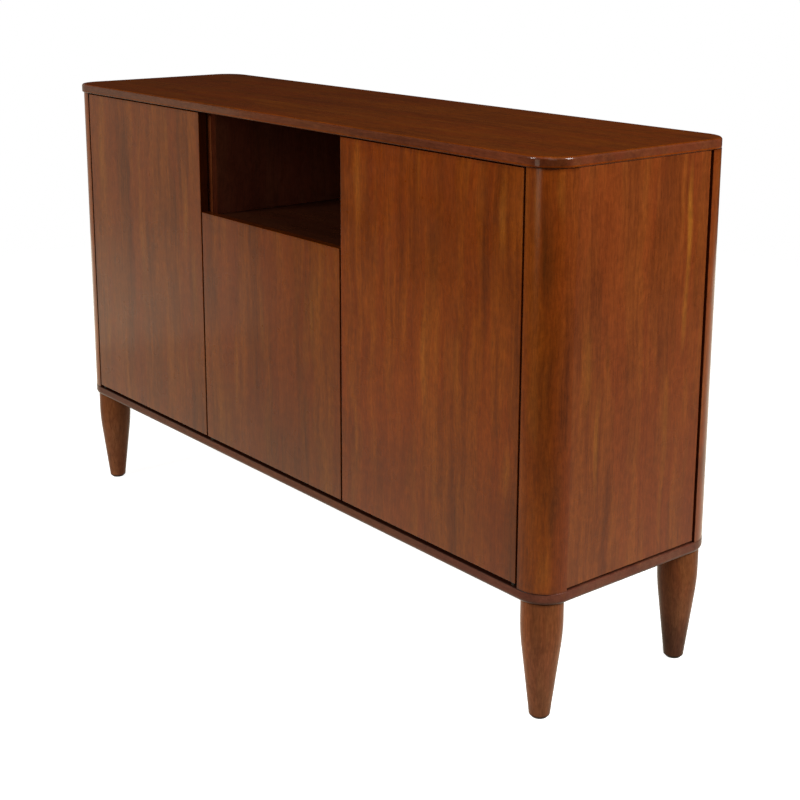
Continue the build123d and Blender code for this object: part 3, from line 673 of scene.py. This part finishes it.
# back panel: rows of screws at the posts and the dividers
low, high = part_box("back_panel_screws")
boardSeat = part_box("back_panel")[1].y
screw = makeScrew((high.y - boardSeat) / millimetre, (boardSeat - low.y) / millimetre)
rows = [high.x - headInset, halfway(dividerIn, dividerOut)]
levels = [low.z + headInset, halfway(low.z, high.z), high.z - headInset]
setCopies(screw, "backPanelScrewSet", [
    ((side * x, boardSeat, z), (-90, screwLook["rowTurn"] * step, 0))
    for x in rows for side in (-1, 1) for step, z in enumerate(levels)],
    "platedSteel", "carcass", ["back_panel_screws"])
dropMaster(screw)

# catches: two screws each, through the housing into the divider
low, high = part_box("catch_screws")
seats = [(-dividerOut - catchWidth, -90), (dividerIn - catchWidth, -90), (dividerOut + catchWidth, 90)]
screw = makeScrew((high.x - dividerOut - catchWidth) / millimetre, catchLook["screwLength"])
setCopies(screw, "catchScrewSet", [
    ((x, catchMiddle.y, z), (0, turn, 0))
    for x, turn in seats for z in (low.z + headInset, high.z - headInset)],
    "platedSteel", "carcass", ["catch_screws"])
dropMaster(screw)

# pivot arm: two screws up into the niche floor
low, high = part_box("pivot_arm_screws")
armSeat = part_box("niche_shelf")[0].z - armThickness
screw = makeScrew((armSeat - low.z) / millimetre, (high.z - armSeat) / millimetre)
setCopies(screw, "armScrewSet", [
    ((halfway(low.x, high.x), y, armSeat), (180, 0, screwLook["armTurn"]))
    for y in (low.y + headInset, high.y - headInset)],
    "platedSteel", "carcass", ["pivot_arm_screws"])
dropMaster(screw)
print("screws turned")

strikeLook = {"size": (10.0, 1.5, 36.0), "corner": 3.5, "cornerSteps": 6, "arris": 0.3, "arrisSteps": 2,
              "hole": 3.25, "holeReach": 4.0, "holeSides": 40, "screwLength": 8.0, "screwTurn": 12}


# strike plate lying on the door's inner face: round corners, soft arris and a hole for the screw head
def makeStrike():
    thick = strikeLook["size"][1]
    strike = startBlock(strikeLook["size"], (0, thick / 2, 0))
    pickEdges(strike, lambda a, b: abs(a.y - b.y) > thick / 2)
    bevelEdges(strikeLook["corner"], strikeLook["cornerSteps"])
    pickEdges(strike, lambda a, b: min(a.y, b.y) > thick - near)
    bevelEdges(strikeLook["arris"], strikeLook["arrisSteps"])
    leaveEdit()
    reach = strikeLook["holeReach"]
    hole = startRod(strikeLook["hole"], -reach, reach, strikeLook["holeSides"])
    hole.rotation_euler[0] = math.radians(90)
    fixPlace()
    meetWith(strike, hole, "DIFFERENCE")
    return strike


strike = makeStrike()
screw = makeScrew(strikeLook["size"][1], strikeLook["screwLength"])
for door in ("left_door", "middle_door", "right_door"):
    low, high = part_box(door + "_strike_plate")
    spot = (halfway(low.x, high.x), low.y, halfway(low.z, high.z))
    setCopies(strike, door + "StrikePlate", [(spot, (0, 0, 0))],
              "platedSteel", door, [door + "_strike_plate"])
    setCopies(screw, door + "StrikeScrew", [(spot, (-90, strikeLook["screwTurn"], 0))],
              "platedSteel", door, [door + "_strike_screw"])
dropMaster(strike)
dropMaster(screw)
print("strikes set")


# catch housing: a block with soft corners and a pocket in its nose
def makeHousing():
    width, depth, tall = catchLook["size"]
    nose = catchLook["nose"]
    housing = startBlock((width, depth - nose, tall), (0, nose / 2, 0))
    pickEdges(housing, lambda a, b: abs(a.x - b.x) > width / 2)
    bevelEdges(catchLook["corner"], catchLook["cornerSteps"])
    pickFaces(housing, lambda face: face.normal.y < -facing)
    bpy.ops.mesh.inset(thickness=catchLook["pocketRim"])
    pullOut((0, catchLook["pocketDepth"], 0))
    pickEdges(housing, lambda a, b: abs(a.x - b.x) < near and abs(abs(a.x) - width / 2) < near)
    bevelEdges(catchLook["arris"], catchLook["arrisSteps"])
    leaveEdit()
    return housing


# pole plate with rounded nose corners
def makePlate():
    plate = startBlock(catchLook["plateSize"], (0, 0, 0))
    pickEdges(plate, lambda a, b: abs(a.x - b.x) > catchLook["plateSize"][0] / 2 and a.y < 0)
    bevelEdges(catchLook["plateCorner"], catchLook["cornerSteps"])
    leaveEdit()
    return plate


# ferrite block between the plates, with ground edges
def makeMagnet():
    magnet = startBlock(catchLook["magnetSize"], (0, 0, 0))
    pickFaces(magnet, lambda face: face.normal.y < -facing)
    bpy.ops.mesh.inset(thickness=catchLook["magnetRim"])
    bpy.ops.transform.translate(value=(0, -catchLook["magnetCrown"], 0))
    leaveEdit()
    return magnet


catchSpots = [x - math.copysign(catchWidth / 2, turn) for x, turn in seats]
housing = makeHousing()
setCopies(housing, "catchHousings", [((x, catchMiddle.y, catchMiddle.z), (0, 0, 0)) for x in catchSpots],
          "darkPlastic", "carcass", ["magnetic_catches"])
dropMaster(housing)
plate = makePlate()
plateY = catchLow.y + catchLook["plateSize"][1] / 2 * millimetre
plateSpread = catchLook["plateSpread"] * millimetre
setCopies(plate, "catchPolePlates", [
    ((x + side * plateSpread, plateY, catchMiddle.z), (0, 0, 0)) for x in catchSpots for side in (-1, 1)],
    "platedSteel", "carcass", ["magnetic_catches"])
dropMaster(plate)
magnet = makeMagnet()
magnetY = catchLow.y + (
    catchLook["magnetBack"] + catchLook["magnetSize"][1] / 2 + catchLook["magnetCrown"]) * millimetre
setCopies(magnet, "catchMagnets", [((x, magnetY, catchMiddle.z), (0, 0, 0)) for x in catchSpots],
          "darkPlastic", "carcass", ["magnetic_catches"])
dropMaster(magnet)
print("catches set")

pinLook = {"radius": 2.5, "length": 9.0, "sides": 28, "point": 0.8, "pointSteps": 3, "root": 1.0,
           "spoon": (10.0, 12.0, 3.0), "corner": 4.5, "cornerSteps": 7, "arris": 0.5, "arrisSteps": 2}


# shelf pin: a round shank along -X and a flat spoon along +X with rounded outer corners
def makePin():
    reach, width, thick = pinLook["spoon"]
    root = pinLook["root"]
    spoon = startBlock((reach, width, thick), (reach / 2, 0, 0))
    pickEdges(spoon, lambda a, b: abs(a.z - b.z) > thick / 2 and a.x > reach - near)
    bevelEdges(pinLook["corner"], pinLook["cornerSteps"])
    pickEdges(spoon, lambda a, b: abs(a.z - b.z) < near and max(a.x, b.x) > near)
    bevelEdges(pinLook["arris"], pinLook["arrisSteps"])
    leaveEdit()
    shank = startRod(pinLook["radius"], 0.0, pinLook["length"] + root, pinLook["sides"])
    pickEdges(shank, lambda a, b: min(a.z, b.z) > pinLook["length"] + root - near)
    bevelEdges(pinLook["point"], pinLook["pointSteps"])
    leaveEdit()
    shank.rotation_euler[1] = math.radians(-90)
    shank.location.x = root
    fixPlace()
    meetWith(spoon, shank, "UNION")
    return spoon


low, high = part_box("shelf_pins")
pinLevel = halfway(low.z, high.z)
spoonHalf = pinLook["spoon"][1] / 2 * millimetre
pinRows = [low.y + spoonHalf, high.y - spoonHalf]
pinFaces = [(dividerOut, 0), (-panelInside, 0), (-dividerOut, 180), (panelInside, 180)]
pin = makePin()
setCopies(pin, "shelfPinSet", [((x, y, pinLevel), (0, 0, turn)) for x, turn in pinFaces for y in pinRows],
          "platedSteel", "carcass", ["shelf_pins"])
dropMaster(pin)
print("shelf pins set")

# pale floor, soft boxes and camera
stageLook = {
    "floorRadius": 3.4, "floorFade": (0.5, 0.95), "floorGrey": 0.55, "floorGlow": 0.95, "roomGrey": 0.012,
    "warmth": (1.0, 0.945, 0.75), "softBounce": 0.50, "glossBounce": 1.38,
    "bounceReach": 0.84, "bounceFrom": (0.7, -0.2),
    "boxes": {
        "frontBox": {"turn": -12, "reach": 3.6, "height": 2.5, "size": (1.2, 1.2), "power": 130, "aim": 0.45},
        "frontCard": {"turn": 8, "reach": 3.2, "height": 0.52, "size": (0.9, 0.6), "power": 4.2, "aim": 0.45},
        "rightBox": {"turn": 104, "reach": 3.2, "height": 2.4, "size": (1.2, 1.2), "power": 130, "aim": 0.45},
        "leftPanel": {"turn": -75, "reach": 1.86, "height": 0.8, "size": (1.42, 1.6), "power": 4.15,
                      "aim": 1.46},
        "highBox": {"turn": 40, "reach": 1.8, "height": 3.6, "size": (0.8, 0.8), "power": 8, "aim": 0.45},
        "cameraFill": {"turn": 52, "reach": 3.6, "height": 1.6, "size": (1.5, 1.5), "power": 10, "aim": 0.45},
    },
}


def aimAt(thing, target):
    thing.rotation_euler = (Vector(target) - thing.location).to_track_quat("-Z", "Y").to_euler()


# white paper to the lens; to the lights and reflections a glow that dies off to the front and the right
def layFloor():
    clearPick()
    bpy.ops.mesh.primitive_circle_add(vertices=96, radius=stageLook["floorRadius"], fill_type="NGON")
    floor = bpy.context.object
    floor.name = "floor"
    paper, tree, shader = startFinish("palePaper")
    place = objectPlace(tree)
    away = addNode(tree, "ShaderNodeVectorMath", {0: place}, operation="LENGTH").outputs["Value"]
    low, high = stageLook["floorFade"]
    fade = spread(tree, away, low * stageLook["floorRadius"], high * stageLook["floorRadius"])
    grey = stageLook["floorGrey"]
    shader.inputs["Base Color"].default_value = (grey, grey, grey, 1.0)
    shader.inputs["Roughness"].default_value = 1.0
    shader.inputs["Specular IOR Level"].default_value = 0.0
    shader.inputs["Emission Color"].default_value = (1.0, 1.0, 1.0, 1.0)
    shader.inputs["Emission Strength"].default_value = stageLook["floorGlow"]
    clear = addNode(tree, "ShaderNodeBsdfTransparent")
    sheet = addNode(tree, "ShaderNodeMixShader", {0: fade, 1: shader.outputs[0], 2: clear.outputs[0]})

    parts = addNode(tree, "ShaderNodeSeparateXYZ", {0: place}).outputs
    right, front = stageLook["bounceFrom"]
    toRight = mathOf(tree, "MAXIMUM", mathOf(tree, "SUBTRACT", parts[0], right), 0.0)
    toFront = mathOf(tree, "MAXIMUM", mathOf(tree, "SUBTRACT", front, parts[1]), 0.0)
    reach = mathOf(tree, "MULTIPLY", mathOf(tree, "ADD", toRight, toFront), -1.0 / stageLook["bounceReach"])
    rays = addNode(tree, "ShaderNodeLightPath").outputs
    share = spread(tree, rays["Is Glossy Ray"], 0.0, 1.0, stageLook["softBounce"], stageLook["glossBounce"])
    strength = mathOf(tree, "MULTIPLY", mathOf(tree, "EXPONENT", reach), share)
    bounce = addNode(tree, "ShaderNodeEmission", {"Color": (*stageLook["warmth"], 1.0), "Strength": strength})
    blend = addNode(tree, "ShaderNodeMixShader", {
        0: rays["Is Camera Ray"], 1: bounce.outputs[0], 2: sheet.outputs[0]})
    output = next(n for n in tree.nodes if n.type == "OUTPUT_MATERIAL")
    tree.links.new(blend.outputs[0], output.inputs["Surface"])
    floor.data.materials.append(paper)


def lightRoom():
    world = bpy.data.worlds.new("paleRoom")
    bpy.context.scene.world = world
    world.use_nodes = True
    tree = world.node_tree
    tree.nodes.clear()
    grey = stageLook["roomGrey"]
    dim = addNode(tree, "ShaderNodeBackground", {"Color": (grey, grey, grey, 1.0)})
    white = addNode(tree, "ShaderNodeBackground", {"Color": (1.0, 1.0, 1.0, 1.0)})
    seen = addNode(tree, "ShaderNodeLightPath").outputs["Is Camera Ray"]
    blend = addNode(tree, "ShaderNodeMixShader", {0: seen, 1: dim.outputs[0], 2: white.outputs[0]})
    output = addNode(tree, "ShaderNodeOutputWorld")
    tree.links.new(blend.outputs[0], output.inputs["Surface"])
    for name, box in stageLook["boxes"].items():
        turn = math.radians(box["turn"])
        bpy.ops.object.light_add(type="AREA", location=(
            box["reach"] * math.sin(turn), -box["reach"] * math.cos(turn), box["height"]))
        lamp = bpy.context.object
        lamp.name = name
        lamp.data.shape = "RECTANGLE"
        lamp.data.size, lamp.data.size_y = box["size"]
        lamp.data.energy = box["power"]
        lamp.data.color = stageLook["warmth"] if name in ("leftPanel", "frontCard") else (1.0, 1.0, 1.0)
        aimAt(lamp, (0, 0, box["aim"]))


cameraLook = {
    "place": (2.0927, -1.59465, 1.1433), "yaw": 50.887, "pitch": 12.8, "roll": -0.183,
    "sensor": 36, "lens": 65.8152, "shiftY": -0.155, "reach": 100,
}


def setCamera():
    turns = (90 - cameraLook["pitch"], cameraLook["roll"], cameraLook["yaw"])
    bpy.ops.object.camera_add(location=cameraLook["place"], rotation=[math.radians(t) for t in turns])
    camera = bpy.context.object
    camera.name = "photoCamera"
    camera.data.lens = cameraLook["lens"]
    camera.data.sensor_width = cameraLook["sensor"]
    camera.data.shift_y = cameraLook["shiftY"]
    camera.data.clip_end = cameraLook["reach"]
    bpy.context.scene.camera = camera
    bpy.context.scene.view_settings.view_transform = "Standard"


layFloor()
lightRoom()
setCamera()
print("stage set")
